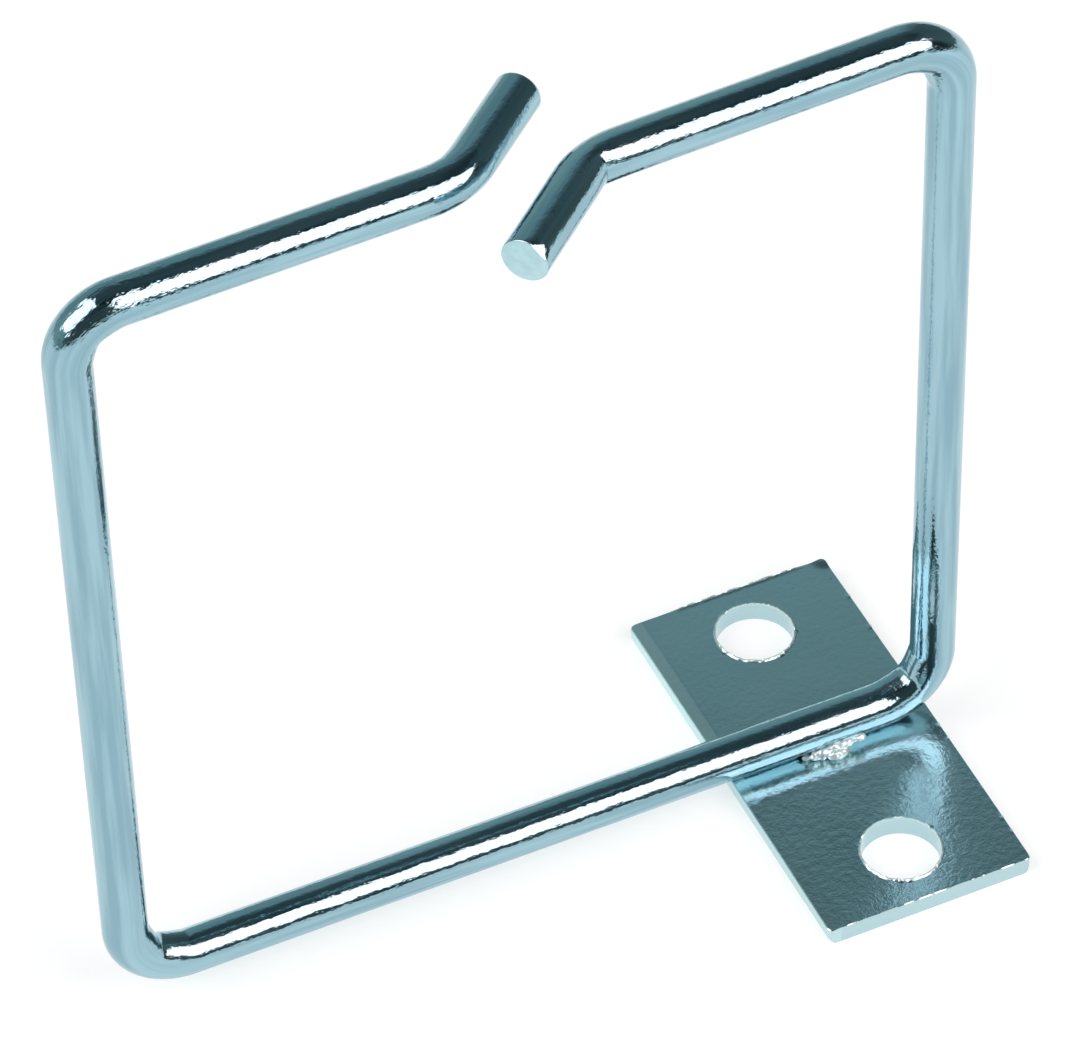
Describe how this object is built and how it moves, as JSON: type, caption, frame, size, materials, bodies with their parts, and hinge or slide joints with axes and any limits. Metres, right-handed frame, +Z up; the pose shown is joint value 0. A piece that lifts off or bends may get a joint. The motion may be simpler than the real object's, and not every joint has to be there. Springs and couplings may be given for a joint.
{
  "type": "cable management ring",
  "caption": "Square open cable ring of bent round wire, welded across a flat plate with screw holes. Cables are laid in through the slanting gap between its bent ends.",
  "frame": {"origin": "middle of the mounting plate's underside, between the two screw holes", "axes": "+X along the wire's bottom run, +Y along the plate's length, +Z up out of the mounting face"},
  "size_m": [0.08, 0.04, 0.082],
  "materials": {
    "zinc_wire": "glossy bright zinc plating with a blue tint, drawing marks along the wire",
    "zinc_plate": "satin bright zinc plating with a blue tint, faint rolling marks",
    "zinc_weld": "lumpy plated weld metal"
  },
  "bodies": {
    "root": {"wire_ring": "zinc_wire", "mounting_plate": "zinc_plate", "weld_bead": "zinc_weld"}
  },
  "joints": []
}
